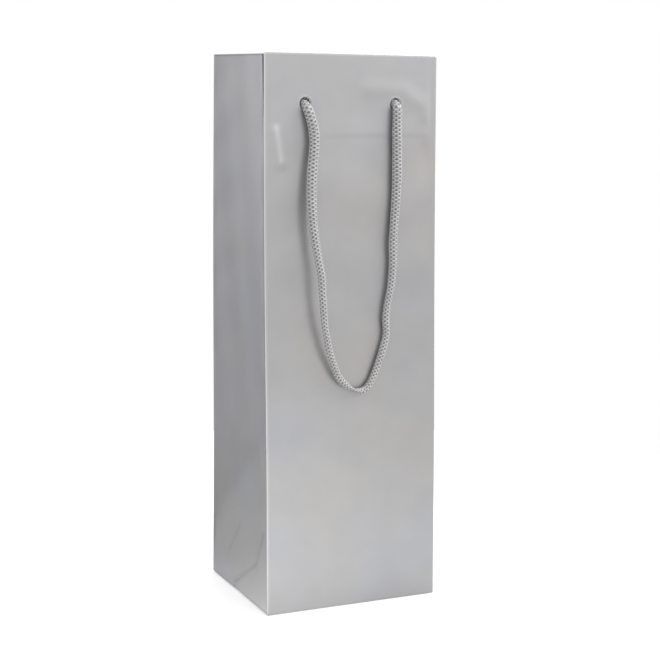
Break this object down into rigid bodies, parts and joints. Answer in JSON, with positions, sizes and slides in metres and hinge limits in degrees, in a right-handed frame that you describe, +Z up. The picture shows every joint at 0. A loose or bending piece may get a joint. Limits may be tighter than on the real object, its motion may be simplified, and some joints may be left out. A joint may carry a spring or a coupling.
{
  "type": "wine gift bag",
  "caption": "Tall square-bottomed silver paper carrier for a bottle, with a turned-in top, a loose base board and a knotted rope handle on its front.",
  "frame": {"origin": "centre of the underside, on the surface the bag stands on", "axes": "+Z up through the mouth, -Y out of the front face, +X to the right of someone looking at the front"},
  "size_m": [0.12, 0.1207, 0.36],
  "materials": {
    "silver_paper": "satin",
    "reinforcement_card": "matte",
    "base_board": "matte",
    "rope": "matte"
  },
  "bodies": {
    "bag": {"front_panel": "silver_paper", "back_panel": "silver_paper", "left_side_panel": "silver_paper", "right_side_panel": "silver_paper", "side_seam_flap": "silver_paper", "front_hem": "silver_paper", "back_hem": "silver_paper", "left_side_hem": "silver_paper", "right_side_hem": "silver_paper", "front_bottom_flap": "silver_paper", "back_bottom_flap": "silver_paper", "left_bottom_tuck": "silver_paper", "right_bottom_tuck": "silver_paper", "front_reinforcement_card": "reinforcement_card", "back_reinforcement_card": "reinforcement_card", "front_handle_knot_left": "rope", "front_handle_knot_right": "rope"},
    "base_board": {"base_board": "base_board"},
    "front_handle": {"front_handle_cord": "rope"}
  },
  "joints": [
    {"name": "front_handle_swing", "type": "hinge", "parent": "bag", "child": "front_handle", "pos_m": [0, -0.057, 0.3288], "axis": [-1, 0, 0], "range_deg": [0, 178]},
    {"name": "base_board_lift", "type": "slide", "parent": "bag", "child": "base_board", "axis": [0, 0, 1], "range_m": [0, 0.3]}
  ]
}
